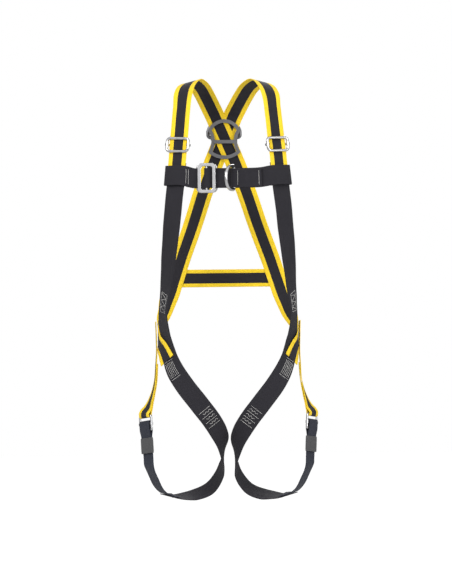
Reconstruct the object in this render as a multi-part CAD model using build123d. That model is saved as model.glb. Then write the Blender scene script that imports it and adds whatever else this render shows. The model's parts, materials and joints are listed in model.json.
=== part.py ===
from build123d import *
import math
import os

# Full-body fall-arrest harness, shown as it hangs when worn: millimetres, +Z up.
# The wearer faces -Y, so +X is the wearer's left, and "left" and "right" in a node's name are the wearer's.
# Sizes below are measured from the centre plane, with Z counted from the lowest point of the leg loops.
# The finished nodes are moved so that the origin is the middle of the dorsal ring's eye.

# ---- Webbing ----
WEB = 45.0             # width of every load-bearing webbing
PLY = 2.0              # thickness of one ply
STACK = 2.6            # from one ply's centre to the next where two are sewn together
STEP = 9.0             # spacing of the sections along a curved strap
WRAP = 4.1             # radius of a ply's middle where it wraps a 5 mm bar

# ---- Torso ----
CHEST_Z = 742.0        # middle of the chest strap at the sides
CHEST_MID_Z = 736.0    # and at the front
CHEST_X = 117.5        # middle of a front strap at the chest
CHEST_Y = -94.0
CHEST_FLARE = 30.0     # degrees that the front straps face outwards at the chest
ADJUSTER_Z = 812.0     # middle of a shoulder adjuster
CROSS_Z = 837.0        # where the shoulder straps cross on the back
CROSS_LEAN = 23.0      # degrees between a crossing strap and the vertical
BACK_Y = 104.0         # plane of the straps on the back
BACK_STRAP_Z = 511.0   # middle of the horizontal back strap
SEAT_X = 117.5         # where a crossed strap passes under the back strap
SEAT_DEPTH = 20.0      # distance of that place in front of the plane of the back
SEAT_TURN = 20.0       # degrees that it faces outwards from the rear
SEAT_LEAN = 19.0       # degrees between the crossed strap there and the vertical

# ---- Hips and legs ----
HIP_Y = 4.0            # axis on which a leg loop swings
HIP_Z = 398.0
HIP_LAP = 2.2          # the torso's straps lie this far outside the strap path at the hip, the loop's this far inside
BUCKLE = Vector(190, 0, 181)
BUCKLE_TURN = 62.0     # degrees that a leg buckle faces outwards from the front
BUCKLE_LEAN = 6.0      # degrees that its outer end hangs down
SLIDE_BAR_Y = -2.0     # the leg buckle's sliding bar, above the middle of the buckle
BAR_SLACK = 2.6        # height of the webbing's turn above that bar
KEEPER_Y = -51.5       # middle of the keeper, on the same line
KEEPER_LENGTH = 35.0

# ---- Metal ----
WIRE = 5.0             # bar diameter of the leg buckles and mating frame
LINK_W = 57.5          # leg buckle, across the webbing
LINK_H = 38.0          # and along it
ADJUSTER_WIRE = 6.5
ADJUSTER_W = 60.5
ADJUSTER_H = 36.0
RUN = 0.35             # clearance between webbing and the metal that slides on it
FIT = 0.05             # radial clearance of a bar in its hole
CHEST_RING_WIRE = 7.5
CHEST_RING_TURN = 61.0 # degrees that the chest ring stands out from the strap
PLATE_SETBACK = 7.0    # distance of the buckle plate's webbing bar behind the plate
DORSAL_RING_WIRE = 8.0
DORSAL_RING_Y = BACK_Y + 7.2
DORSAL_RING_RISE = 43.0
EYE = Vector(0, DORSAL_RING_Y, CROSS_Z + 20)

# ---- Thread ----
THREAD = 0.9
THREAD_LIFT = 0.15
STITCH_ROWS = (0.17, 0.185, 0.195, 0.205, 0.215, 0.23, 0.43, 0.45, 0.47, 0.49, 0.51)  # shares of a leg strap's length


# ---- Directions ----
def plan(degrees):
    """Unit vector in plan: 0 faces the front (-Y) and 90 faces the wearer's left (+X)."""
    a = math.radians(degrees)
    return Vector(math.sin(a), -math.cos(a), 0)


def mirrored(v):
    """The same vector on the other side of the centre plane."""
    return Vector(-v.X, v.Y, v.Z)


def lerp(a, b, t):
    return a + (b - a) * t


# ---- Strap paths: lists of (point on the middle of the ply, direction its outer face looks) ----
def bend(points, i, t):
    """Point at share t of the span after points[i], on a smooth curve through all the points."""
    def slope(k):
        if k == 0:
            return (points[1] - points[0]).normalized()
        if k == len(points) - 1:
            return (points[-1] - points[-2]).normalized()
        before, after = points[k] - points[k - 1], points[k + 1] - points[k]
        ratio = after.length / before.length
        return (before * ratio + after * (1 / ratio)) * (1 / (before.length + after.length))

    d = (points[i + 1] - points[i]).length
    t2, t3 = t * t, t * t * t
    ends = points[i] * (2 * t3 - 3 * t2 + 1) + points[i + 1] * (3 * t2 - 2 * t3)
    return ends + slope(i) * (d * (t3 - 2 * t2 + t)) + slope(i + 1) * (d * (t3 - t2))


def walk(path, step=STEP):
    """Sections (point, direction of travel, direction across, outward normal) along a strap's path."""
    points = [Vector(p) for p, _ in path]
    normals = [Vector(n).normalized() for _, n in path]
    samples = []
    for i in range(len(points) - 1):
        count = max(1, math.ceil((points[i + 1] - points[i]).length / step))
        samples += [(bend(points, i, k / count), lerp(normals[i], normals[i + 1], k / count)) for k in range(count)]
    samples.append((points[-1], normals[-1]))
    sections = []
    for k, (p, n) in enumerate(samples):
        t = (samples[min(k + 1, len(samples) - 1)][0] - samples[max(k - 1, 0)][0]).normalized()
        n = (n - t * n.dot(t)).normalized()
        sections.append((p, t, n.cross(t), n))
    return sections


def ribbon(path, width=WEB, thickness=PLY):
    """A closed strip of webbing along a path."""
    rings = []
    for p, _, w, n in walk(path):
        a, b = w * (width / 2), n * (thickness / 2)
        rings.append(Wire.make_polygon([p - a - b, p + a - b, p + a + b, p - a + b], close=True))
    return Solid.make_loft(rings, ruled=True)


def wrap(centre, start, middle, radius=WRAP, steps=6):
    """Half a turn of webbing round a bar, from the bar's start side by way of its middle side."""
    turn = []
    for k in range(steps + 1):
        a = math.pi * k / steps
        n = start * math.cos(a) + middle * math.sin(a)
        turn.append((centre + n * radius, n))
    return turn


def on_side(shape, side):
    """A part drawn on the wearer's left for side 1, or its mirror image on the right for side -1."""
    return shape if side > 0 else mirror(shape, about=Plane.YZ)


# ---- Torso webbing ----
FLARE = plan(CHEST_FLARE)
CHEST = Vector(CHEST_X, CHEST_Y, CHEST_Z)
RISE = Vector(-16, 15, 162).normalized()       # line of the front straps from the chest to the shoulder
RISE_OUT = (FLARE - RISE * FLARE.dot(RISE)).normalized()
RISE_ACROSS = RISE_OUT.cross(RISE)             # across the strap, towards the centre plane
LEAN_DOWN = Vector(-math.sin(math.radians(CROSS_LEAN)), 0, -math.cos(math.radians(CROSS_LEAN)))
REAR = Vector(0, 1, 0)
FRONT = Vector(0, -1, 0)
SEAT = Vector(-SEAT_X, BACK_Y - SEAT_DEPTH, BACK_STRAP_Z)
SEAT_OUT = plan(180 + SEAT_TURN)
SEAT_ALONG = plan(270 + SEAT_TURN)             # along the back strap, away from the centre plane
SEAT_DOWN = SEAT_ALONG * math.sin(math.radians(SEAT_LEAN)) - Vector(0, 0, math.cos(math.radians(SEAT_LEAN)))


def on_rise(z, layer=0.0):
    """A point on the straight front run, at height z and some plies outside the middle one."""
    return CHEST + RISE * ((z - CHEST_Z) / RISE.Z) + RISE_OUT * (layer * STACK)


def shoulder_path(layer):
    """The left strap: chest, shoulder, down across the back to the right hip.
    layer is 0.5 for the strap that lies outside at the crossing and -0.5 for the one inside."""
    cross = Vector(0, BACK_Y + layer * STACK, CROSS_Z)
    return [
        (on_rise(730, 0.5), FLARE),
        (on_rise(774, 0.5), FLARE),
        (on_rise(886, 0.5), FLARE),
        (on_rise(898, 0.5), FLARE),
        (Vector(99, -63, 928), Vector(0.30, -0.70, 0.60)),
        (Vector(90, -34, 950), Vector(0.26, -0.36, 0.88)),
        (Vector(75, 0, 960), Vector(0.24, 0.05, 0.97)),
        (Vector(58, 33, 950), Vector(0.20, 0.45, 0.86)),
        (Vector(44, 66 + layer, 930), Vector(0.12, 0.74, 0.66)),
        (Vector(31, 91 + layer * STACK, 906), Vector(0.03, 0.93, 0.36)),
        (cross - LEAN_DOWN * 50, REAR),
        (cross - LEAN_DOWN * 43, REAR),
        (cross, REAR),
        (cross + LEAN_DOWN * 56, REAR),
        (Vector(-47.5, BACK_Y - 2.5, 718), plan(185)),
        (Vector(-76.5, BACK_Y - 9, 630), plan(193)),
        (SEAT - SEAT_DOWN * 36, SEAT_OUT),
        (SEAT - SEAT_DOWN * 29, SEAT_OUT),
        (SEAT + SEAT_DOWN * 25, SEAT_OUT),
        (SEAT + SEAT_DOWN * 32, SEAT_OUT),
        (Vector(-136, 71, 457), plan(208)),
        (Vector(-143, 61, 435), plan(222)),
        (Vector(-151 - HIP_LAP, 44, 414), plan(243)),
        (Vector(-157 - HIP_LAP, 27, 400), plan(261)),
    ]


TORSO = [
    (on_rise(772, -0.5), FLARE),
    (on_rise(728, -0.5), FLARE),
    (Vector(124, -97, 680), plan(31)),
    (Vector(129, -94, 628), plan(34)),
    (Vector(137, -84, 548), plan(45)),
    (Vector(143, -64, 490), plan(58)),
    (Vector(147 + HIP_LAP * 0.6, -49, 448), plan(68)),
    (Vector(148.5 + HIP_LAP, -42, 410), plan(69)),
]

LEG = [
    (Vector(148.5 - HIP_LAP, -42, 404), plan(69)),
    (Vector(146.5 - HIP_LAP, -45, 382), plan(65)),
    (Vector(138.5, -53, 352), plan(56)),
    (Vector(134, -62, 328), plan(42)),
    (Vector(123.5, -74, 302), plan(27)),
    (Vector(104.5, -84, 271), plan(12)),
    (Vector(71, -87, 227), plan(-2)),
    (Vector(41, -77, 187), plan(-13)),
    (Vector(27, -65, 164), plan(-23)),
    (Vector(16.5, -47, 140), plan(-42)),
    (Vector(13.5, -24, 112), plan(-70)),
    (Vector(13.5, -6, 95), plan(-92)),
    (Vector(17, 14, 73), Vector(-0.86, 0.45, -0.24)),
    (Vector(27.5, 31, 49), Vector(-0.60, 0.60, -0.52)),
    (Vector(45, 43, 28), Vector(-0.34, 0.64, -0.69)),
    (Vector(77, 50, 13.8), Vector(-0.03, 0.52, -0.85)),
    (Vector(100, 46, 10.5), Vector(0.05, 0.34, -0.94)),
    (Vector(123, 38, 9.5), Vector(0.12, 0.12, -0.98)),
    (Vector(147, 24, 15), Vector(0.42, -0.16, -0.88)),
]

HIP_TAB = [
    (Vector(158 - HIP_LAP, 23, 397), plan(97)),
    (Vector(159.5, 8, 386), plan(91)),
    (Vector(159.5, -8, 375), plan(87)),
    (Vector(158, -25, 362), plan(78)),
    (Vector(150, -45, 346), plan(58)),
    (Vector(141.4, -59.3, 324.6), plan(43)),
]


def inside(station, gap=STACK):
    """The station of a second ply, behind the inner face of the first and facing the other way."""
    point, normal = station[0], station[1].normalized()
    return (point - normal * gap, normal * -1)


# ---- Leg buckle: a plane whose X runs across the webbing and whose Z is the buckle's outward direction ----
OUT = plan(BUCKLE_TURN)
LEVEL = OUT.cross(Vector(0, 0, 1)) * -1
HANG = math.radians(BUCKLE_LEAN)
BUCKLE_X = LEVEL * math.cos(HANG) + Vector(0, 0, -math.sin(HANG))
BUCKLE_UP = OUT.cross(BUCKLE_X)
BUCKLE_PLANE = Plane(origin=BUCKLE, x_dir=BUCKLE_X, z_dir=OUT)
TOP_BAR_Y = (LINK_H - WIRE) / 2


def in_buckle(y, z):
    """A point on the middle of the webbing near the leg buckle: y along the webbing, z outwards."""
    return BUCKLE + BUCKLE_UP * y + OUT * z


THIGH_RUN = [
    (Vector(165, 4, 316), plan(88)),
    (Vector(168, 4, 276), plan(87)),
    (Vector(173, 4, 252), plan(84)),
    (Vector(179.5, 3.5, 231), plan(78)),
    (Vector(186, 2.5, 215), plan(68)),
]

THIGH = [
    (Vector(165, 8, 412), plan(90)),
    (Vector(164, 6, 380), plan(90)),
    (Vector(163.5, 4, 345), plan(89)),
    *THIGH_RUN,
    (in_buckle(TOP_BAR_Y + 5, WRAP), OUT),
    *wrap(in_buckle(TOP_BAR_Y, 0), OUT, BUCKLE_UP * -1),
    (in_buckle(TOP_BAR_Y + 5, -WRAP), OUT * -1),
    *[inside(station) for station in reversed(THIGH_RUN)],
]

TAIL = [
    inside(LEG[-2], STACK + 0.6),
    inside(LEG[-1], STACK + 0.6),
    (Vector(160.5, 12, 31), Vector(-0.72, 0.30, 0.58)),
    (Vector(173.5, 1, 57), Vector(-0.86, 0.42, 0.28)),
    (in_buckle(-94, -STACK / 2), OUT * -1),
    (in_buckle(-84, -STACK / 2), OUT * -1),
    (in_buckle(-38, -STACK / 2), OUT * -1),
    (in_buckle(-31, -STACK / 2 - 0.2), OUT * -1),
    (in_buckle(-TOP_BAR_Y, -WRAP), OUT * -1),
    (in_buckle(SLIDE_BAR_Y - 4, -WRAP), OUT * -1),
    *wrap(in_buckle(SLIDE_BAR_Y + BAR_SLACK, 0), OUT * -1, BUCKLE_UP),
    (in_buckle(SLIDE_BAR_Y - 4, WRAP), OUT),
    (in_buckle(-TOP_BAR_Y, WRAP), OUT),
    (in_buckle(-31, STACK / 2 + 0.2), OUT),
    (in_buckle(-38, STACK / 2), OUT),
    (in_buckle(KEEPER_Y - 14, STACK / 2), OUT),
]

# ---- Chest webbing, in plan: each strap runs behind the front straps, round their outer edge and forward ----
SLEEVE_WRAP = 1.5 * STACK + 0.3                # radius of the chest strap's turn round the two plies
PLATE_BAR = Vector(-50, -121, CHEST_MID_Z)     # centre bar of the buckle's plate
FRAME_BAR = Vector(-70, -111.5, CHEST_MID_Z)   # outer bar of the mating frame
RING_BAR = Vector(12, -122.5, CHEST_MID_Z)     # straight bar of the chest ring
RING_WRAP = CHEST_RING_WIRE / 2 + 1.6


def sleeve_path(side):
    """The chest strap's end behind and round the front straps, listed from the middle of the back ply."""
    def near(across, out):
        p = CHEST + RISE_ACROSS * across + RISE_OUT * out
        return Vector(side * p.X, p.Y, p.Z)

    def facing(v):
        return Vector(side * v.X, v.Y, v.Z)

    edge = near(-WEB / 2 - 1.2, 0)
    return [
        (near(WEB / 2 + 4, -SLEEVE_WRAP), facing(RISE_OUT * -1)),
        (near(-WEB / 2 - 1.2, -SLEEVE_WRAP), facing(RISE_OUT * -1)),
        *wrap(edge, facing(RISE_OUT * -1), facing(RISE_ACROSS * -1), SLEEVE_WRAP)[1:-1],
        (near(-WEB / 2 - 1.2, SLEEVE_WRAP), facing(RISE_OUT)),
        (near(WEB / 2 + 3, SLEEVE_WRAP), facing(RISE_OUT)),
    ]


CHEST_RIGHT = [
    *sleeve_path(-1),
    (Vector(-86, -112.0, CHEST_MID_Z + 2), Vector(-0.06, -1, 0)),
    (Vector(-76.5, -114.8, CHEST_MID_Z), FRONT),
    *wrap(FRAME_BAR, FRONT, Vector(1, 0, 0)),
    (Vector(-76.5, -108.4, CHEST_MID_Z), REAR),
    (Vector(-86, -109.2, CHEST_MID_Z + 2), Vector(0.06, 1, 0)),
    (Vector(-92, -108.6, CHEST_MID_Z + 3), Vector(0.12, 1, 0)),
]

CHEST_LEFT = [
    *sleeve_path(1),
    (Vector(78, -111.0, CHEST_MID_Z + 2), Vector(0.10, -1, 0)),
    (Vector(40, -113.6, CHEST_MID_Z), Vector(0.03, -1, 0)),
    (Vector(10, -114.0, CHEST_MID_Z), FRONT),
    (Vector(-12, -117.0, CHEST_MID_Z), FRONT),
    (Vector(-37, -120.6, CHEST_MID_Z), FRONT),
    (Vector(-45, -124.6, CHEST_MID_Z), Vector(-0.2, -1, 0)),
    *wrap(PLATE_BAR, FRONT, Vector(-1, 0, 0)),
    (Vector(-42, -117.2, CHEST_MID_Z), REAR),
    (Vector(-12, -114.4, CHEST_MID_Z), REAR),
    (Vector(6, -111.4, CHEST_MID_Z), REAR),
]

RING_LOOP = [
    (Vector(75, -111.2 - 2 * STACK, CHEST_MID_Z + 1), Vector(0.10, -1, 0)),
    (Vector(34, -113.8 - 2 * STACK, CHEST_MID_Z), Vector(0.03, -1, 0)),
    (Vector(21.5, RING_BAR.Y - RING_WRAP + 1.5, CHEST_MID_Z), Vector(0.1, -1, 0)),
    *wrap(RING_BAR, FRONT, Vector(-1, 0, 0), RING_WRAP),
    (Vector(25, -113.9 - STACK, CHEST_MID_Z), REAR),
    (Vector(56, -112.5 - STACK, CHEST_MID_Z + 0.5), Vector(-0.06, 1, 0)),
]


def on_seat(along):
    """A point on the middle of the back strap where it lies on the crossed strap."""
    return SEAT + SEAT_OUT * STACK + SEAT_ALONG * along


BACK_STRAP = [
    *[(on_seat(along), SEAT_OUT) for along in (22, -31, -38)],
    (Vector(0, BACK_Y + 3, BACK_STRAP_Z), REAR),
    *[(mirrored(on_seat(along)), mirrored(SEAT_OUT)) for along in (-38, -31, 22)],
]


# ---- Metal ----
def bar_along(path, wire):
    """A round bar bent along a closed wire."""
    section = Plane(origin=path @ 0, z_dir=path % 0) * Circle(wire / 2)
    return sweep(section, path=path, transition=Transition.RIGHT)


def link(width, height, corner, wire):
    """A closed rectangle of round bar in the XY plane. Sizes are outside sizes."""
    outline = RectangleRounded(width - wire, height - wire, corner)
    return bar_along(Wire(outline.face().outer_wire().edges()), wire)


def d_ring(half_width, rise, shoulder, corner, wire):
    """A D of round bar in the XY plane: straight bar on the X axis, bow towards +Y."""
    corners = Line((-half_width, 0), (half_width, 0))
    left = Line((-half_width, 0), (-half_width, shoulder))
    right = Line((half_width, 0), (half_width, shoulder))
    bow = ThreePointArc((-half_width, shoulder), (0, rise), (half_width, shoulder))
    outline = make_face([corners, left, right, bow])
    outline = fillet(outline.vertices(), corner)
    return bar_along(Wire(outline.face().outer_wire().edges()), wire)


def adjuster_frame():
    return link(ADJUSTER_W, ADJUSTER_H, 8, ADJUSTER_WIRE)


def adjuster_bar():
    """A flat bar behind the webbing, hooked round the side bars of the adjuster's frame."""
    side = (ADJUSTER_W - ADJUSTER_WIRE) / 2
    back = ADJUSTER_WIRE / 2 + PLY + 2 * RUN + 1.1
    bar = Pos(0, 0, -back) * Box(2 * side + 4, 5, 2.2)
    for x in (-side, side):
        bar += Pos(x, 0, -back / 2) * Box(3.4, 5, back)
        bar += Pos(x, 0, 0) * Rot(90, 0, 0) * Cylinder(ADJUSTER_WIRE / 2 + 1.0, 5)
    for x in (-side, side):
        bar -= Pos(x, 0, 0) * Rot(90, 0, 0) * Cylinder(ADJUSTER_WIRE / 2 + FIT, 9)
    return bar


def straight_slide_bar():
    """The leg buckle's round sliding bar, with an eye round each side bar of the link."""
    side = (LINK_W - WIRE) / 2
    bar = Rot(0, 90, 0) * Cylinder(WIRE / 2, 2 * side)
    for x in (-side, side):
        bar += Pos(x, 0, 0) * Rot(90, 0, 0) * Cylinder(WIRE / 2 + 1.0, 6)
    for x in (-side, side):
        bar -= Pos(x, 0, 0) * Rot(90, 0, 0) * Cylinder(WIRE / 2 + FIT, 9)
    return bar


def keeper():
    """A flat sleeve round the two plies of a leg tail."""
    inside = (WEB + 0.8, 2 * PLY + (STACK - PLY) + 0.8)
    sleeve = RectangleRounded(inside[0] + 2.4, inside[1] + 2.4, 2.2) - RectangleRounded(inside[0], inside[1], 1.0)
    return Rot(90, 0, 0) * Pos(0, 0, -KEEPER_LENGTH / 2) * extrude(sleeve, KEEPER_LENGTH)


def buckle_plate():
    """The buckle's front plate: a rounded rectangular ring with its webbing bar set back behind it."""
    outline = RectangleRounded(40.5, 67, 8) - RectangleRounded(25.5, 53, 5)
    plate = Pos(0, 0, -2.25) * extrude(outline, 4.5)
    plate = fillet(plate.edges().filter_by(GeomType.CIRCLE, reverse=True).group_by(Axis.Z)[-1], 1.2)
    bar = Pos(0, 0, -PLATE_SETBACK) * Rot(90, 0, 0) * Cylinder(WIRE / 2, 64)
    for y in (-30, 30):
        plate += Pos(0, y, -PLATE_SETBACK / 2) * Box(7, 6.5, PLATE_SETBACK)
    return plate + bar


def dorsal_plate():
    """The hourglass plate inside the crossing, with two eyes that reach past the straps to the ring's bar."""
    top, shoulder, waist, foot, bottom = 44.0, 18.0, -8.0, -32.0, -48.0
    outline = make_face([
        ThreePointArc((-38, shoulder), (0, top), (38, shoulder)),
        ThreePointArc((38, shoulder), (30, waist), (38, foot)),
        ThreePointArc((38, foot), (0, bottom), (-38, foot)),
        ThreePointArc((-38, foot), (-30, waist), (-38, shoulder)),
    ])
    outline = fillet(outline.vertices(), 5)
    inner = offset(outline.face(), amount=-8)
    upper = inner & (Pos(0, 40) * Rectangle(90, 88))
    lower = inner & (Pos(0, -56) * Rectangle(90, 88))
    plate = extrude(outline.face() - upper - lower, 4)
    plate = Plane(origin=(0, BACK_Y - 2.9, CROSS_Z - 2), x_dir=(1, 0, 0), z_dir=(0, -1, 0)) * plate
    for x in (-28.5, 28.5):
        eye = Pos(x, DORSAL_RING_Y, CROSS_Z) * Rot(0, 90, 0) * Cylinder(6.6, 4)
        neck_y = (BACK_Y - 4.5 + DORSAL_RING_Y) / 2
        neck = Pos(x, neck_y, CROSS_Z) * Box(4, DORSAL_RING_Y - BACK_Y + 4.5, 8)
        hole = Pos(x, DORSAL_RING_Y, CROSS_Z) * Rot(0, 90, 0) * Cylinder(DORSAL_RING_WIRE / 2 + FIT, 6)
        plate = plate + eye + neck - hole
    return plate


def dorsal_ring():
    ring = d_ring(37, DORSAL_RING_RISE, 14, 6, DORSAL_RING_WIRE)
    return Plane(origin=(0, DORSAL_RING_Y, CROSS_Z), x_dir=(1, 0, 0), z_dir=(0, -1, 0)) * ring


def chest_ring():
    a = math.radians(CHEST_RING_TURN)
    bow = Vector(-math.cos(a), -math.sin(a), 0)
    ring = d_ring(26.5, 39.5, 13.5, 4.5, CHEST_RING_WIRE)
    return Plane(origin=RING_BAR, x_dir=(0, 0, 1), z_dir=Vector(0, 0, 1).cross(bow)) * ring


# ---- Thread: short bars laid across a strap ----
def cross_rows(path, shares, length=34.0, lift=0.0, shift=0.0):
    """Rows of thread across a strap's outer face, at shares of the path's length."""
    sections = walk(path, 2.0)
    rows = []
    for share in shares:
        p, t, w, n = sections[round(share * (len(sections) - 1))]
        middle = p + n * (PLY / 2 + THREAD_LIFT + lift + 0.15) + w * shift
        rows.append(Plane(origin=middle, x_dir=w, z_dir=n) * Box(length, THREAD, 0.3))
    return rows


# ---- Nodes ----
def buckle_part(shape, along=0.0):
    """A part of the leg buckle, moved from its own plane to its place on the left thigh."""
    return BUCKLE_PLANE * Pos(0, along, 0) * shape


def leg_nodes():
    """The wearer's left leg loop."""
    return {
        "leg_strap": ribbon(LEG),
        "hip_tab": ribbon(HIP_TAB),
        "thigh_strap": ribbon(THIGH),
        "leg_tail": ribbon(TAIL),
        "leg_buckle_frame": buckle_part(link(LINK_W, LINK_H, 3.5, WIRE)),
        "leg_buckle_bar": buckle_part(straight_slide_bar(), SLIDE_BAR_Y),
        "keeper": buckle_part(keeper(), KEEPER_Y),
        "stitching_leg": Compound(cross_rows(LEG, STITCH_ROWS)),
    }


def front_nodes():
    """The wearer's left front strap and its adjuster."""
    middle = on_rise(ADJUSTER_Z, 0.5) + RISE_OUT * (PLY / 2 + RUN + ADJUSTER_WIRE / 2)
    adjuster = Plane(origin=middle, x_dir=RISE_ACROSS, z_dir=RISE_OUT)
    return {
        "torso_strap": ribbon(TORSO),
        "shoulder_adjuster_frame": adjuster * adjuster_frame(),
        "shoulder_adjuster_bar": adjuster * adjuster_bar(),
    }


def chest_nodes():
    plate_place = Plane(origin=PLATE_BAR + FRONT * PLATE_SETBACK, x_dir=(1, 0, 0), z_dir=FRONT)
    frame_place = Plane(origin=FRAME_BAR + Vector(21.5, 0, 0), x_dir=(1, 0, 0), z_dir=FRONT)
    return {
        "chest_strap_left": ribbon(CHEST_LEFT),
        "chest_strap_right": ribbon(CHEST_RIGHT),
        "chest_ring_loop": ribbon(RING_LOOP, width=43),
        "chest_d_ring": chest_ring(),
        "chest_buckle_plate": plate_place * buckle_plate(),
        "chest_buckle_frame": frame_place * link(48, 65, 7, WIRE),
    }


def back_nodes():
    return {
        "back_strap": ribbon(BACK_STRAP, width=41),
        "dorsal_plate": dorsal_plate(),
        "dorsal_d_ring": dorsal_ring(),
    }


nodes = {**chest_nodes(), **back_nodes()}
paired = {**front_nodes(), **leg_nodes()}
for side, name in ((1, "left"), (-1, "right")):
    nodes["shoulder_strap_" + name] = on_side(ribbon(shoulder_path(0.5 * side)), side)
    for part, shape in paired.items():
        nodes[part + "_" + name] = on_side(shape, side)

os.makedirs("parts", exist_ok=True)
for name, shape in nodes.items():
    export_step(Pos(-EYE.X, -EYE.Y, -EYE.Z) * shape, "parts/" + name + ".step")
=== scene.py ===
import json
import math

import bmesh
import bpy
import numpy as np
from mathutils import Euler, Matrix, Vector

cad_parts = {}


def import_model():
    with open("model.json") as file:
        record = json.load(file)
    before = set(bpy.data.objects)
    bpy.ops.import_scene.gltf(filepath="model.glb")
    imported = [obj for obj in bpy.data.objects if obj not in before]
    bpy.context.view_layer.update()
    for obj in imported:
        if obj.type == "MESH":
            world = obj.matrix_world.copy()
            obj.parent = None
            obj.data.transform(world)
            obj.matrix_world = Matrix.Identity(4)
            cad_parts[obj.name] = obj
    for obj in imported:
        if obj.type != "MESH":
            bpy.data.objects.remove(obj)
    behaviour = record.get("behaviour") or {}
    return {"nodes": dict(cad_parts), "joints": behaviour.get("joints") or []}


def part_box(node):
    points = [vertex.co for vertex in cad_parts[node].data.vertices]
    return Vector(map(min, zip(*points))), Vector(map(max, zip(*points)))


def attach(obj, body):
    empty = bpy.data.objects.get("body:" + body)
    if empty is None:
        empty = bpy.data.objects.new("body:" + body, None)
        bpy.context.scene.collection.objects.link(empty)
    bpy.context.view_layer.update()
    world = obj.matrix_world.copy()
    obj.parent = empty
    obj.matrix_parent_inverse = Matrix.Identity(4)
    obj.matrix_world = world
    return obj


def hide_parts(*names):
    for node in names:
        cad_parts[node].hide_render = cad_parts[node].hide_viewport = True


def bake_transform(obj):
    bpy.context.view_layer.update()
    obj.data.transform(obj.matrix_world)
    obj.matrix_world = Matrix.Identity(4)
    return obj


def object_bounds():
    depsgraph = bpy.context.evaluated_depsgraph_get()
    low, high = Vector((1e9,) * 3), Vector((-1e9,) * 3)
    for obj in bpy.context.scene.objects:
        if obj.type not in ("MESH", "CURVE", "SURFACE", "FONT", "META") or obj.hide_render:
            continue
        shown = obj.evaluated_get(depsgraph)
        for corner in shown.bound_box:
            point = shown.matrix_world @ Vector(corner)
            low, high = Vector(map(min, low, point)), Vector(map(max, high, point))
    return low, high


# Full-body safety harness. Lengths are in metres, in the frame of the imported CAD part:
# +Z up, the wearer faces -Y, origin at the middle of the dorsal ring's eye.
# "left" and "right" are the wearer's, and the wearer's left is +X.

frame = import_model()
CAD_BOUNDS = [list(corner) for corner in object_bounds()]
LOW, HIGH = (Vector(corner) for corner in CAD_BOUNDS)
RNG = np.random.default_rng(7)

SIDES = ("left", "right")
OTHER = {"left": "right", "right": "left"}
SIGN = {"left": 1, "right": -1}

# Webbing
WIDTH = 0.045             # of the load-bearing webbing
BACK_WIDTH = 0.041        # of the back strap
RING_LOOP_WIDTH = 0.043   # of the strip that holds the chest ring
PLY = 0.0019              # thickness of one ply
EDGE = 0.0009             # width of the rounded selvedge
LANE = 0.0105             # width of a yellow lane
GROOVE = 0.00018          # depth of the seam between two lanes
SEAM_WIDTH = 0.0005
SELVEDGE_WIDTH = 0.0006
YARN = 0.0013             # pitch of the yarns across the webbing
PICK = 0.0030             # length of one float of a yarn
SPACING = 0.0022          # along a strap, between rows of the mesh
CHEST_SPACING = 0.0018    # the same, on the chest strap
ROW_TURN = math.radians(9)     # most that a strap turns between rows
RAIL_ANGLE = math.radians(65)  # the long edges of a CAD strap are sharper than this

# How the webbing is out of true: two waves of its height and one of its roll
WAVE = 0.00022            # size of each wave
SHORT_WAVE = WAVE / 3     # the same, on short pieces
WAVE_FADE = 0.03          # over which the waves die out at a strap's end
WAVE_LENGTHS = (0.011, 0.027, 0.019)  # each over two pi

# Where the webbing bends at a hip, measured from the hip's axis
HIP_TRIM = 0.030          # of each strap that the smooth bend takes the place of

# Keeper
KEEPER_WALL = 0.0011
KEEPER_CORNER = 0.0022
KEEPER_ROWS = 29
KEEPER_RIB = 0.00016
KEEPER_TAPER = 0.00035
KNIT = 0.0011             # pitch of the elastic's stitches round the sleeve
RIB = 0.0016              # pitch of its ribs along the sleeve

# Thread
STITCH = 0.0032           # length of one stitch
SHORT_STITCH = 0.0024     # the same, on the chest strap
THREAD = 0.00042          # radius of the thread
THREAD_SIDES = 6
STITCH_RINGS = (          # share of the stitch's length, thickness, and height in thread radii
    (0.0, 0.35, -0.6), (0.15, 0.85, 0.3), (0.5, 1.0, 0.55), (0.85, 0.85, 0.3), (1.0, 0.35, -0.6))

# Sewing on the leg straps, as heights of its top and bottom above the lowest point of the harness
HIP_BOX = (0.476, 0.434)
LEG_BOX = (0.325, 0.289)
CROSS_ROWS = (0.211, 0.178)

# Sewing across the chest, as distances in X
BUCKLE_SEAMS = (-0.098, -0.092)
RING_SEAMS = (0.0215, 0.0685)
CHEST_SEAM_HALF = 0.016

# Colours
BLACK = (0.0165, 0.0155, 0.0200, 1)
YELLOW = (0.86, 0.60, 0.025, 1)
NAVY = (0.022, 0.025, 0.038, 1)
THREAD_LIGHT = (0.78, 0.77, 0.74, 1)
THREAD_DARK = (0.55, 0.54, 0.52, 1)
# Painted light on the elastic: a lit colour for the crests of its ribs and a darker, painted shade for the
# valleys.
ELASTIC_LIT_CREST = (0.085, 0.085, 0.088, 1)
ELASTIC_SHADED_VALLEY = (0.022, 0.022, 0.024, 1)
BRIGHT_STEEL = ((0.44, 0.44, 0.45, 1), (0.62, 0.62, 0.63, 1))
DARK_STEEL = ((0.12, 0.12, 0.125, 1), (0.20, 0.20, 0.21, 1))
FLOOR_GREYS = ((0.62, 0.62, 0.62, 1), (0.66, 0.66, 0.66, 1))
WHITE = (1, 1, 1, 1)

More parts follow.
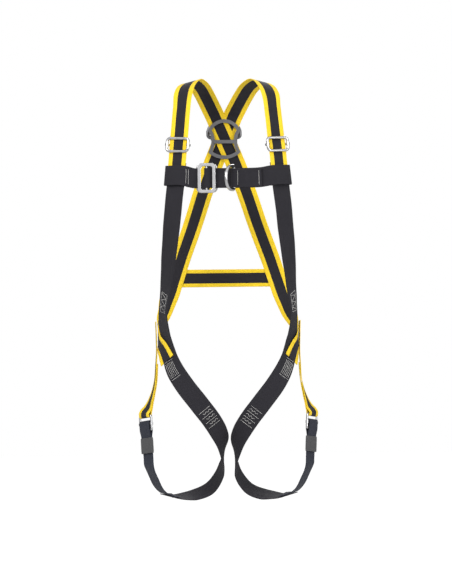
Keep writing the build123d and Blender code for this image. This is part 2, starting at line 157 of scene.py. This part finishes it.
# Stage
FLOOR_DROP = 0.55         # of the floor below the harness
FLOOR_HALF = 14.0
FLOOR_GLOW = 0.6          # added to the floor where the camera sees it
CAMERA_DISTANCE = 8.0
CAMERA_YAW = 2.3          # degrees towards the wearer's right
CAMERA_ROLL = -0.6        # degrees
SENSOR = 24.0             # height of the camera's sensor, in millimetres
FRAME_HEIGHT = 1.380      # height of the view, as a multiple of the harness's
AIM_HEIGHT = 0.495        # height of the middle of the view, as a share of the harness's
AIM_X = -0.0045
LIGHTS = {                # place, size, power in watts
    "key": ((-1.6, -2.6, 1.2), 1.6, 60),
    "fill": ((2.2, -2.2, 0.2), 2.0, 35),
    "rim": ((0.5, 2.6, 1.5), 1.6, 40)}


# ---------------------------------------------------------------- strap centre lines
def unit(vectors):
    return vectors / np.linalg.norm(vectors, axis=-1, keepdims=True)


def lengths_along(centres):
    """The distance along a line of points to each of them."""
    step = np.linalg.norm(np.diff(centres, axis=0), axis=1)
    return np.concatenate([[0], np.cumsum(step)])


def sharp_graph(node):
    """The sharp edges of a CAD strap as {corner: neighbours}, and every corner's place."""
    bm = bmesh.new()
    bm.from_mesh(frame["nodes"][node].data)
    bmesh.ops.remove_doubles(bm, verts=bm.verts, dist=1e-5)
    places = np.array([v.co[:] for v in bm.verts])
    graph = {}
    for edge in bm.edges:
        if len(edge.link_faces) == 2 and edge.calc_face_angle(0) > RAIL_ANGLE:
            a, b = edge.verts[0].index, edge.verts[1].index
            graph.setdefault(a, []).append(b)
            graph.setdefault(b, []).append(a)
    bm.free()
    return graph, places


def trace(graph, start, second):
    """Follows one long edge of a strap from end to end."""
    rail = [start, second]
    while len(graph[rail[-1]]) == 2:
        a, b = graph[rail[-1]]
        rail.append(b if a == rail[-2] else a)
    return rail


def cad_sections(node, start, facing):
    """(centres, across, normals) of a CAD strap's sections, from the end nearest to start.
    The normals are those of the face that looks in the direction facing at that end."""
    graph, places = sharp_graph(node)
    corners = [v for v, near in graph.items() if len(near) == 3]

    def gap(v, place):
        return np.linalg.norm(places[v] - np.array(place))

    first = min(corners, key=lambda v: gap(v, start))
    cap = [v for v in graph[first] if len(graph[v]) == 3]
    thin = min(cap, key=lambda v: gap(v, places[first]))
    wide = max(cap, key=lambda v: gap(v, places[first]))
    far = next(v for v in graph[wide] if v != first and len(graph[v]) == 3)
    rails = []
    for corner in (first, thin, wide, far):
        onward = next(v for v in graph[corner] if len(graph[v]) == 2)
        rails.append(places[trace(graph, corner, onward)])
    centres = sum(rails) / 4
    across = unit((rails[2] + rails[3]) - (rails[0] + rails[1]))
    along = unit(np.gradient(centres, axis=0))
    normals = unit(np.cross(along, across))
    if normals[0] @ np.array(facing) < 0:
        across, normals = -across, -normals
    return centres, across, normals


def trimmed(sections, start=0.0, end=0.0):
    """Leaves out the sections within a distance of either end."""
    distance = lengths_along(sections[0])
    keep = (distance >= start) & (distance <= distance[-1] - end)
    return tuple(rows[keep] for rows in sections)


def resample(centres, across, spacing):
    """A smooth curve through the sections, with rows closer together where it turns."""
    span = np.linalg.norm(np.diff(centres, axis=0), axis=1)
    before, after = np.diff(centres, axis=0)[:-1], np.diff(centres, axis=0)[1:]
    ratio = (span[1:] / span[:-1])[:, None]
    slope = np.zeros_like(centres)
    slope[1:-1] = (before * ratio + after / ratio) / (span[:-1] + span[1:])[:, None]
    slope[0] = (centres[1] - centres[0]) / span[0]
    slope[-1] = (centres[-1] - centres[-2]) / span[-1]
    points, directions = [], []
    for i, length in enumerate(span):
        turn = math.acos(np.clip(unit(slope[i]) @ unit(slope[i + 1]), -1, 1))
        count = max(1, math.ceil(length / spacing), math.ceil(turn / ROW_TURN))
        for t in np.arange(count) / count:
            ends = centres[i] * (2 * t**3 - 3 * t**2 + 1) + centres[i + 1] * (3 * t**2 - 2 * t**3)
            lean = slope[i] * (t**3 - 2 * t**2 + t) + slope[i + 1] * (t**3 - t**2)
            points.append(ends + lean * length)
            directions.append(across[i] * (1 - t) + across[i + 1] * t)
    points.append(centres[-1])
    directions.append(across[-1])
    return np.array(points), np.array(directions)


class Strap:
    """A strap's centre line with, at each row: the point, direction across, normal and distance along."""

    def __init__(self, *parts, spacing=SPACING):
        """Runs through the sections of one or more CAD straps, each as (centres, across, normals)."""
        centres = np.concatenate([part[0] for part in parts])
        across = np.concatenate([part[1] for part in parts])
        self.points, across = resample(centres, across, spacing)
        along = unit(np.gradient(self.points, axis=0))
        self.across = unit(across - along * np.sum(across * along, axis=1)[:, None])
        self.normals = unit(np.cross(along, self.across))
        self.distance = lengths_along(self.points)
        self.length = self.distance[-1]

    def at(self, distance):
        """(point, across, normal) at a distance along the strap."""
        values = []
        for rows in (self.points, self.across, self.normals):
            values.append(np.array([np.interp(distance, self.distance, rows[:, k]) for k in range(3)]))
        return values[0], unit(values[1]), unit(values[2])

    def nearest(self, place, across=0.0):
        """The distance along the strap of the row nearest to a point, measured off its middle."""
        line = self.points + self.across * across
        return self.distance[np.argmin(np.linalg.norm(line - np.array(place), axis=1))]

    def at_height(self, height):
        """The distance along the strap of the row nearest to a height above the harness's lowest point."""
        return self.distance[np.argmin(np.abs(self.points[:, 2] - LOW.z - height))]

    def upright(self, place, half_width):
        """The corners of a vertical line across the strap through a point, however its rows lean."""
        _, across, _ = self.at(self.nearest(place))
        up = math.copysign(1, across[2])
        corners = []
        for u in (-half_width, half_width):
            end = np.array(place) + np.array((0, 0, u * up))
            corners.append((self.nearest(end, u), u))
        return corners


# ---------------------------------------------------------------- mesh pieces
def make_piece(name, vertices, faces, material):
    """A smooth, closed mesh piece with its normals outwards."""
    mesh = bpy.data.meshes.new(name)
    mesh.from_pydata([tuple(v) for v in vertices], [], faces)
    mesh.polygons.foreach_set("use_smooth", [True] * len(mesh.polygons))
    bm = bmesh.new()
    bm.from_mesh(mesh)
    bmesh.ops.recalc_face_normals(bm, faces=bm.faces)
    bm.to_mesh(mesh)
    bm.free()
    mesh.materials.append(material)
    piece = bpy.data.objects.new(name, mesh)
    bpy.context.scene.collection.objects.link(piece)
    return piece


def map_webbing(piece, places):
    """Gives a piece its webbing map, in metres: (across, along) for each vertex."""
    layer = piece.data.uv_layers.new(name="webbing")
    for loop in piece.data.loops:
        layer.data[loop.index].uv = places[loop.vertex_index]


def tube_faces(rows, count, closed=False):
    """Quads between neighbouring rings of count points. Both ends are capped unless the tube is closed."""
    faces = []
    for r in range(rows if closed else rows - 1):
        up = (r + 1) % rows
        for k in range(count):
            n = (k + 1) % count
            faces.append((r * count + k, r * count + n, up * count + n, up * count + k))
    if not closed:
        faces.append(tuple(range(count)))
        faces.append(tuple((rows - 1) * count + k for k in reversed(range(count))))
    return faces


def section_profile(width):
    """Points round a strap's section as (across, outwards), with soft edges and seams between lanes."""
    half = width / 2
    seam = half - LANE
    near_seams = [side * seam + shift for side in (-1, 1) for shift in (-SELVEDGE_WIDTH, 0, SELVEDGE_WIDTH)]
    flats = sorted({*near_seams, *np.linspace(-half + EDGE, half - EDGE, 9)})

    def height(u):
        lane_seam = math.exp(-((abs(u) - seam) / SEAM_WIDTH) ** 2)
        selvedge = math.exp(-((abs(u) - half + EDGE * 3) / SELVEDGE_WIDTH) ** 2)
        return PLY / 2 - GROOVE * (lane_seam + selvedge / 2)

    corners = np.radians([60, 20, -20, -60])
    top = [(u, height(u)) for u in flats]
    right = [(half - EDGE + EDGE * math.cos(a), PLY / 2 * math.sin(a)) for a in corners]
    bottom = [(u, -v) for u, v in reversed(top)]
    left = [(-u, v) for u, v in reversed(right)]
    return top + right + bottom + left


def webbing(name, strap, material, nodes, width=WIDTH, wave=WAVE):
    """A strap of webbing that stands for CAD nodes."""
    profile = section_profile(width)
    phases = RNG.uniform(0, 2 * math.pi, 4)
    vertices, places = [], []
    for point, across, normal, s in zip(strap.points, strap.across, strap.normals, strap.distance):
        fade = min(1, s / WAVE_FADE, (strap.length - s) / WAVE_FADE)
        waves = [wave * fade * math.sin(s / length + phase) for length, phase in zip(WAVE_LENGTHS, phases)]
        for u, v in profile:
            lift = waves[0] + waves[1] + waves[2] * u / width * 2
            vertices.append(point + across * u + normal * (v + lift))
            places.append((u, s))
    faces = tube_faces(len(strap.points), len(profile))
    piece = make_piece(name, vertices, faces, material)
    map_webbing(piece, places)
    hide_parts(*nodes)
    return piece


# ---------------------------------------------------------------- thread
class Thread:
    """Gathers stitches laid on straps, and makes them into one mesh."""

    def __init__(self):
        self.vertices = []
        self.faces = []

    def stitch(self, start, end, normal):
        """One stitch: a short, fat-middled run of thread that dives into the webbing at both ends."""
        along = end - start
        side = unit(np.cross(along, normal))
        first = len(self.vertices)
        for share, size, rise in STITCH_RINGS:
            middle = start + along * share + normal * THREAD * rise
            for k in range(THREAD_SIDES):
                turn = 2 * math.pi * k / THREAD_SIDES
                offset = side * math.cos(turn) + normal * math.sin(turn)
                self.vertices.append(middle + offset * THREAD * size)
        for face in tube_faces(len(STITCH_RINGS), THREAD_SIDES):
            self.faces.append(tuple(first + v for v in face))

    def seam(self, strap, corners, pitch=STITCH):
        """Stitches along a line through corners, each (distance along the strap, distance across)."""
        for (s0, u0), (s1, u1) in zip(corners, corners[1:]):
            count = max(1, round(math.hypot(s1 - s0, u1 - u0) / pitch))
            for k in range(count):
                ends = []
                for share in ((k + 0.08) / count, (k + 0.92) / count):
                    point, across, normal = strap.at(s0 + (s1 - s0) * share)
                    ends.append(point + across * (u0 + (u1 - u0) * share) + normal * PLY / 2)
                self.stitch(ends[0], ends[1], normal)

    def piece(self, name):
        return make_piece(name, self.vertices, self.faces, thread)


def line_across(distance, half_width):
    return [(distance, -half_width), (distance, half_width)]


def zigzag(start, end, half_width, teeth):
    """A W-shaped run of corners between two distances along a strap."""
    return [(start + (end - start) * k / teeth, half_width * (1 if k % 2 else -1)) for k in range(teeth + 1)]


def rectangle(start, end, half_width):
    """A closed rectangle of corners."""
    near, far = line_across(start, half_width), line_across(end, half_width)
    return [near[0], far[0], far[1], near[1], near[0]]


# ---------------------------------------------------------------- materials
class Nodes:
    """Short calls for building the node tree of a material or a world."""

    def __init__(self, owner):
        owner.use_nodes = True
        self.owner = owner
        self.tree = owner.node_tree
        self.shader = self.tree.nodes.get("Principled BSDF")

    def add(self, kind, **settings):
        node = self.tree.nodes.new(kind)
        for key, value in settings.items():
            setattr(node, key, value)
        return node

    def put(self, target, value):
        """Feeds a socket from another socket, or gives it a value."""
        if isinstance(value, bpy.types.NodeSocket):
            self.tree.links.new(value, target)
        else:
            target.default_value = value

    def surface(self, **settings):
        """Sets inputs of the shader by name, with _ for a space: surface(Base_Color=socket)."""
        for key, value in settings.items():
            self.put(self.shader.inputs[key.replace("_", " ")], value)

    def math(self, operation, a, b=0.0):
        node = self.add("ShaderNodeMath", operation=operation)
        self.put(node.inputs[0], a)
        self.put(node.inputs[1], b)
        return node.outputs[0]

    def ridges(self, value, pitch):
        """Rounded ridges a pitch apart: 0 in the valleys and 1 on the crests."""
        return self.math("ABSOLUTE", self.math("SINE", self.math("MULTIPLY", value, math.pi / pitch)))

    def place(self, kind="Object"):
        return self.add("ShaderNodeTexCoord").outputs[kind]

    def split(self, vector):
        node = self.add("ShaderNodeSeparateXYZ")
        self.put(node.inputs["Vector"], vector)
        return node.outputs

    def webbing_map(self):
        """(across, along) of the webbing map, in metres."""
        parts = self.split(self.add("ShaderNodeUVMap", uv_map="webbing").outputs["UV"])
        return parts["X"], parts["Y"]

    def noise(self, vector, scale, detail=3.0):
        node = self.add("ShaderNodeTexNoise")
        self.put(node.inputs["Vector"], vector)
        self.put(node.inputs["Scale"], scale)
        self.put(node.inputs["Detail"], detail)
        return node.outputs["Fac"]

    def mix(self, share, a, b, blend_type="MIX"):
        node = self.add("ShaderNodeMix", data_type="RGBA", blend_type=blend_type)
        self.put(node.inputs["Factor"], share)
        self.put(node.inputs[6], a)
        self.put(node.inputs[7], b)
        return node.outputs[2]

    def remap(self, value, low, high):
        node = self.add("ShaderNodeMapRange")
        self.put(node.inputs["Value"], value)
        self.put(node.inputs["To Min"], low)
        self.put(node.inputs["To Max"], high)
        return node.outputs["Result"]

    def grey(self, value):
        node = self.add("ShaderNodeCombineColor")
        for channel in range(3):
            self.put(node.inputs[channel], value)
        return node.outputs[0]

    def bump(self, height, distance, strength):
        node = self.add("ShaderNodeBump")
        self.put(node.inputs["Strength"], strength)
        self.put(node.inputs["Distance"], distance)
        self.put(node.inputs["Height"], height)
        self.surface(Normal=node.outputs["Normal"])


def webbing_material(name, middle, lanes=None):
    """Woven polyester: yarns along the strap that float in a chevron, with coloured edge lanes if given."""
    m = Nodes(bpy.data.materials.new(name))
    across, along = m.webbing_map()
    column = m.math("FLOOR", m.math("DIVIDE", across, YARN))
    offset = m.math("PINGPONG", m.math("MULTIPLY", column, 0.5), 1.0)
    shifted = m.math("ADD", along, m.math("MULTIPLY", offset, PICK))
    ridge = m.math("POWER", m.ridges(across, YARN), 0.6)
    floats = m.math("POWER", m.ridges(shifted, PICK), 0.5)
    weave = m.math("MULTIPLY", ridge, m.remap(floats, 0.3, 1.0))
    fibres = m.noise(m.place(), 900.0, 2.0)
    # The colour is multiplied by a random cloud, by random fibre tone, and by painted shade and light from
    # the weave: darker in the valleys between yarns, lighter on the crests of the floats.
    tone_and_weave_shade = m.math("ADD", m.remap(m.noise(m.place(), 22.0), 0.88, 1.10), m.remap(weave, -0.27, 0.18))
    tone_and_weave_shade = m.math("ADD", tone_and_weave_shade, m.remap(fibres, -0.125, 0.125))
    colour = middle
    if lanes:
        in_lane = m.math("GREATER_THAN", m.math("ABSOLUTE", across), WIDTH / 2 - LANE)
        colour = m.mix(in_lane, middle, lanes)
    m.surface(Base_Color=m.mix(1.0, colour, m.grey(tone_and_weave_shade), "MULTIPLY"),
              Roughness=m.remap(fibres, 0.62, 0.86),
              Specular_IOR_Level=0.18, Sheen_Weight=0.06, Sheen_Roughness=0.5)
    m.bump(weave, 0.00035, 0.8)
    return m.owner


def thread_material():
    m = Nodes(bpy.data.materials.new("thread"))
    strands = m.noise(m.place(), 1800.0, 2.0)
    m.surface(Base_Color=m.mix(strands, THREAD_DARK, THREAD_LIGHT), Roughness=0.6)
    m.bump(strands, 0.0001, 0.5)
    return m.owner


def elastic_material():
    """Knitted elastic, ribbed along the sleeve, with painted shade in the valleys between ribs and stitches
    and a lighter, lit colour on the crests.
    """
    m = Nodes(bpy.data.materials.new("elastic"))
    across, along = m.webbing_map()
    cloth = m.math("MULTIPLY", m.ridges(along, RIB), m.remap(m.ridges(across, KNIT), 0.6, 1.0))
    m.surface(Base_Color=m.mix(cloth, ELASTIC_SHADED_VALLEY, ELASTIC_LIT_CREST), Roughness=0.85, Sheen_Weight=0.1)
    m.bump(cloth, 0.0004, 0.8)
    return m.owner


def steel_material(name, shades, rough, metallic=1.0):
    """Plated or coated steel: faint clouding between two shades, and fine polishing marks."""
    m = Nodes(bpy.data.materials.new(name))
    grain = m.noise(m.place(), 700.0, 4.0)
    m.surface(Base_Color=m.mix(m.noise(m.place(), 60.0), *shades), Metallic=metallic,
              Roughness=m.remap(grain, rough * 0.75, rough * 1.35))
    m.bump(grain, 0.00006, 0.35)
    return m.owner


two_tone = webbing_material("webbing_two_tone", BLACK, YELLOW)
black_webbing = webbing_material("webbing_black", BLACK)
navy_webbing = webbing_material("webbing_navy", NAVY)
thread = thread_material()
elastic = elastic_material()
bright_steel = steel_material("steel_bright", BRIGHT_STEEL, 0.22)
dark_steel = steel_material("steel_dark", DARK_STEEL, 0.34, 0.85)


# ---------------------------------------------------------------- straps
def middle_of(node):
    low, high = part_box(node)
    return (low + high) / 2


def far_from(node, up):
    """A point a metre above or below a node, to pick out that end of the strap."""
    low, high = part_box(node)
    point = middle_of(node)
    point.z = high.z + 1 if up else low.z - 1
    return point


TRUNK_Y = (middle_of("back_strap").y + middle_of("chest_ring_loop").y) / 2
HIP = {side: Vector(joint["pos_m"]) for side in SIDES
       for joint in frame["joints"] if joint["name"] == "leg_swing_" + side}


def outwards(place):
    """The horizontal direction from the middle of the trunk to a place."""
    return Vector((place[0], place[1] - TRUNK_Y, 0))


def from_top(node):
    """A CAD strap's sections from its upper end, with the normals away from the trunk."""
    top = far_from(node, True)
    return cad_sections(node, top, outwards(top))


def main_webbing(side):
    """The black strap from the chest to the hip and round the thigh, in one length."""
    nodes = ("torso_strap_" + side, "leg_strap_" + side)
    torso, leg = (from_top(node) for node in nodes)
    strap = Strap(trimmed(torso, end=HIP_TRIM), trimmed(leg, start=HIP_TRIM))
    piece = webbing("torso_and_leg_webbing_" + side, strap, black_webbing, nodes)
    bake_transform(piece)
    return strap


def shoulder_webbing(side):
    """The two-tone strap from the chest over one shoulder to the other hip, in one length."""
    hip = HIP[OTHER[side]]
    nodes = ("shoulder_strap_" + side, "hip_tab_" + OTHER[side])
    front = Vector((SIGN[side] * 0.12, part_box(nodes[0])[0].y, -0.1))
    shoulder = cad_sections(nodes[0], front, outwards(front))
    behind = hip + Vector((0, 0.2, 0.2))
    tab = cad_sections(nodes[1], behind, outwards(hip))
    strap = Strap(trimmed(shoulder, end=HIP_TRIM * 0.7), trimmed(tab, start=HIP_TRIM * 0.5))
    piece = webbing("shoulder_webbing_" + side, strap, two_tone, nodes)
    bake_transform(piece)


def thigh_webbing(side):
    """The two-tone strap from the hip to the leg buckle, folded round its top bar."""
    node = "thigh_strap_" + side
    top = far_from(node, True)
    top.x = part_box(node)[0].x
    strap = Strap(cad_sections(node, top, outwards(top)))
    piece = webbing("thigh_webbing_" + side, strap, two_tone, [node], wave=SHORT_WAVE)
    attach(piece, "leg_loop_" + side)


def tail_webbing(side):
    """The strap from the end of the leg strap up to the leg buckle and back down."""
    node = "leg_tail_" + side
    low = far_from(node, False)
    low.x = SIGN[side] * 0.11
    strap = Strap(cad_sections(node, low, (0, 0, 1)))
    piece = webbing("leg_tail_webbing_" + side, strap, navy_webbing, [node], wave=SHORT_WAVE)
    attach(piece, "leg_loop_" + side)
    return strap


def chest_webbing(side):
    """Half of the chest strap, from the sleeve round the front straps to the buckle."""
    node = "chest_strap_" + side
    start = Vector((SIGN[side] * 0.095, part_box(node)[1].y, middle_of(node).z))
    strap = Strap(cad_sections(node, start, (0, 1, 0)), spacing=CHEST_SPACING)
    piece = webbing("chest_webbing_" + side, strap, black_webbing, [node], wave=SHORT_WAVE)
    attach(piece, "torso")
    return strap


def ring_webbing():
    """The strip that holds the chest ring."""
    node = "chest_ring_loop"
    low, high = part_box(node)
    strap = Strap(cad_sections(node, Vector((high.x + 1, low.y, high.z)), (0, -1, 0)))
    piece = webbing("chest_ring_webbing", strap, black_webbing, [node],
                    RING_LOOP_WIDTH, SHORT_WAVE)
    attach(piece, "torso")
    return strap


def back_webbing():
    node = "back_strap"
    strap = Strap(cad_sections(node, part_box(node)[0], (0, 1, 0)))
    piece = webbing("back_webbing", strap, two_tone, [node], BACK_WIDTH)
    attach(piece, "torso")
    return strap


def keeper_outline(half_width, half_depth):
    """A rounded rectangle of points."""
    outline = []
    for x, y, first in ((1, 1, 0), (-1, 1, 90), (-1, -1, 180), (1, -1, 270)):
        for a in np.radians(first + np.linspace(0, 90, 5)):
            outline.append((x * (half_width - KEEPER_CORNER) + KEEPER_CORNER * math.cos(a),
                            y * (half_depth - KEEPER_CORNER) + KEEPER_CORNER * math.sin(a)))
    return outline


def keeper_rings(half_length):
    """(distance along, growth) of each ring of the sleeve: out over its ribs and back through its bore."""
    outer = []
    for k, share in enumerate(np.linspace(-1, 1, KEEPER_ROWS)):
        outer.append((share * half_length, KEEPER_RIB * (-1) ** k - KEEPER_TAPER * abs(share) ** 6))
    return outer + [(length, grow - KEEPER_WALL) for length, grow in reversed(outer)]


def keeper(side, tail):
    """The ribbed elastic sleeve round the two plies of a leg tail."""
    node = "keeper_" + side
    co = np.array([v.co[:] for v in frame["nodes"][node].data.vertices])
    centre = (co.min(0) + co.max(0)) / 2
    _, across, normal = tail.at(tail.nearest(centre))
    along = np.cross(across, normal)
    half_width, half_depth, half_length = (
        np.abs((co - centre) @ axis).max() for axis in (across, normal, along))
    outline = keeper_outline(half_width, half_depth)
    rings = keeper_rings(half_length)
    vertices, places = [], []
    for length, grow in rings:
        for x, y in outline:
            wide = x * (half_width + grow) / half_width
            deep = y * (half_depth + grow) / half_depth
            vertices.append(centre + along * length + across * wide + normal * deep)
            places.append((x + y, length))
    faces = tube_faces(len(rings), len(outline), closed=True)
    piece = make_piece("keeper_elastic_" + side, vertices, faces, elastic)
    map_webbing(piece, places)
    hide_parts(node)
    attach(piece, node)


main_straps, tails, chest_straps = {}, {}, {}
for side in SIDES:
    main_straps[side] = main_webbing(side)
    shoulder_webbing(side)
    thigh_webbing(side)
    tails[side] = tail_webbing(side)
    chest_straps[side] = chest_webbing(side)
for side in SIDES:
    keeper(side, tails[side])
ring_strap = ring_webbing()
back_strap = back_webbing()


# ---------------------------------------------------------------- sewing
def lateral(strap, distance, side):
    """Which way across a strap is away from the centre plane: 1 or -1."""
    return 1 if strap.at(distance)[1][0] * SIGN[side] > 0 else -1


def sew_hip_box(run, strap):
    """A zigzag in a box."""
    top, bottom = (strap.at_height(height) for height in HIP_BOX)
    run.seam(strap, rectangle(top, bottom, 0.0125))
    run.seam(strap, zigzag(top + 0.003, bottom - 0.003, 0.0105, 5))


def sew_leg_box(run, strap, side):
    """Two lines across the outer part of the strap, and six rows between them."""
    top, bottom = (strap.at_height(height) for height in LEG_BOX)
    out = lateral(strap, top, side)
    for s in (top, bottom):
        run.seam(strap, [(s, -0.006 * out), (s, 0.019 * out)])
    for u in np.linspace(-0.004, 0.017, 6):
        run.seam(strap, [(top + 0.004, u * out), (bottom - 0.004, u * out)])


def sew_cross_rows(run, strap, side):
    """Four lines across the strap, with a small zigzag between each two."""
    top, bottom = (strap.at_height(height) for height in CROSS_ROWS)
    out = lateral(strap, top, side)
    gap = (bottom - top) / 3
    for k in range(4):
        run.seam(strap, line_across(top + gap * k, 0.016))
    for k in range(3):
        s = top + gap * (k + 0.5)
        run.seam(strap, [(s + 0.0018 * (-1) ** n, (0.0045 * n - 0.014) * out) for n in range(6)])


def leg_sewing(side):
    strap = main_straps[side]
    run = Thread()
    sew_hip_box(run, strap)
    sew_leg_box(run, strap, side)
    sew_cross_rows(run, strap, side)
    for from_end in (0.006, 0.012):
        run.seam(strap, line_across(strap.length - from_end, 0.018))
    piece = run.piece("leg_sewing_" + side)
    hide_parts("stitching_leg_" + side)
    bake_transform(piece)


def chest_sewing():
    """Upright lines beside the buckle, and at both ends of the chest ring's strip."""
    run = Thread()
    height = middle_of("chest_ring_loop").z
    buckle_front, ring_front = (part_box(node)[0].y for node in ("chest_strap_right", "chest_ring_loop"))
    for x in BUCKLE_SEAMS:
        strap = chest_straps["right"]
        run.seam(strap, strap.upright((x, buckle_front, height), CHEST_SEAM_HALF), SHORT_STITCH)
    for x in RING_SEAMS:
        s = ring_strap.nearest((x, ring_front, height))
        run.seam(ring_strap, line_across(s, CHEST_SEAM_HALF), SHORT_STITCH)
    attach(run.piece("chest_sewing"), "torso")


def back_sewing():
    """A crossed box where each end of the back strap lies on a shoulder strap."""
    run = Thread()
    for start, end in ((0.006, 0.046), (back_strap.length - 0.046, back_strap.length - 0.006)):
        run.seam(back_strap, rectangle(start, end, 0.014))
        run.seam(back_strap, [(start, -0.014), (end, 0.014)])
        run.seam(back_strap, [(start, 0.014), (end, -0.014)])
    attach(run.piece("back_sewing"), "torso")


for side in SIDES:
    leg_sewing(side)
chest_sewing()
back_sewing()


# ---------------------------------------------------------------- metal
def finish_metal(names, material):
    for name in names:
        materials = frame["nodes"][name].data.materials
        materials.clear()
        materials.append(material)


finish_metal(("dorsal_plate", "dorsal_d_ring"), dark_steel)
finish_metal(("chest_d_ring", "chest_buckle_plate", "chest_buckle_frame"), bright_steel)
for side in SIDES:
    finish_metal([kind + side for kind in ("shoulder_adjuster_frame_", "shoulder_adjuster_bar_",
                                           "leg_buckle_frame_", "leg_buckle_bar_")], bright_steel)


# ---------------------------------------------------------------- stage
def floor():
    """A pale floor. The camera sees it white, and everything else sees it dimmer."""
    z = LOW.z - FLOOR_DROP
    corners = [(x * FLOOR_HALF, y * FLOOR_HALF, z) for x, y in ((-1, -1), (1, -1), (1, 1), (-1, 1))]
    mesh = bpy.data.meshes.new("floor")
    mesh.from_pydata(corners, [], [(0, 1, 2, 3)])
    plane = bpy.data.objects.new("floor", mesh)
    bpy.context.scene.collection.objects.link(plane)
    m = Nodes(bpy.data.materials.new("floor"))
    seen = m.add("ShaderNodeLightPath").outputs["Is Camera Ray"]
    m.surface(Base_Color=m.mix(m.noise(m.place(), 3.0), *FLOOR_GREYS), Roughness=0.9, Specular_IOR_Level=0.0,
              Emission_Color=WHITE, Emission_Strength=m.math("MULTIPLY", seen, FLOOR_GLOW))
    mesh.materials.append(m.owner)


def background(m, strength):
    node = m.add("ShaderNodeBackground")
    m.put(node.inputs["Color"], WHITE)
    m.put(node.inputs["Strength"], strength)
    return node.outputs[0]


def world():
    """White to the camera. What lights the harness and shows in its metal is a studio: bright in front
    and above, dark behind, so that round bars have dark outlines."""
    studio = bpy.data.worlds.new("studio")
    bpy.context.scene.world = studio
    m = Nodes(studio)
    m.tree.nodes.clear()
    towards = m.split(m.place("Generated"))
    front = m.math("MULTIPLY", towards["Y"], -0.75)
    above = m.math("MULTIPLY", towards["Z"], 0.55)
    bright = m.math("ADD", m.math("ADD", front, above), 0.35)
    strength = m.math("MINIMUM", m.math("MAXIMUM", bright, 0.06), 1.1)
    pick = m.add("ShaderNodeMixShader")
    m.put(pick.inputs["Fac"], m.add("ShaderNodeLightPath").outputs["Is Camera Ray"])
    m.put(pick.inputs[1], background(m, strength))
    m.put(pick.inputs[2], background(m, 1.0))
    m.put(m.add("ShaderNodeOutputWorld").inputs["Surface"], pick.outputs[0])


def soft_light(name, place, size, power):
    """A round lamp that faces the middle of the harness."""
    light = bpy.data.lights.new(name, "AREA")
    light.shape = "DISK"
    light.size = size
    light.energy = power
    lamp = bpy.data.objects.new(name, light)
    lamp.location = place
    aim = Vector((0, 0, (LOW.z + HIGH.z) / 2)) - Vector(place)
    lamp.rotation_euler = aim.to_track_quat("-Z", "Y").to_euler()
    bpy.context.scene.collection.objects.link(lamp)


def camera():
    """A long lens almost straight in front and a little to the wearer's right, level with the waist."""
    height = HIGH.z - LOW.z
    lens = bpy.data.cameras.new("camera")
    lens.sensor_fit = "VERTICAL"
    lens.sensor_height = SENSOR
    lens.lens = SENSOR * CAMERA_DISTANCE / (height * FRAME_HEIGHT)
    lens.clip_end = 60.0
    target = Vector((AIM_X, (LOW.y + HIGH.y) / 2, LOW.z + height * AIM_HEIGHT))
    yaw = math.radians(CAMERA_YAW)
    level = Euler((math.radians(90), 0, -yaw)).to_matrix()
    eye = bpy.data.objects.new("camera", lens)
    eye.location = target + Vector((-math.sin(yaw), -math.cos(yaw), 0)) * CAMERA_DISTANCE
    eye.rotation_euler = (level @ Matrix.Rotation(math.radians(CAMERA_ROLL), 3, "Z")).to_euler()
    bpy.context.scene.collection.objects.link(eye)
    bpy.context.scene.camera = eye


floor()
world()
for lamp, settings in LIGHTS.items():
    soft_light(lamp, *settings)
camera()
bpy.context.scene.view_settings.view_transform = "Standard"
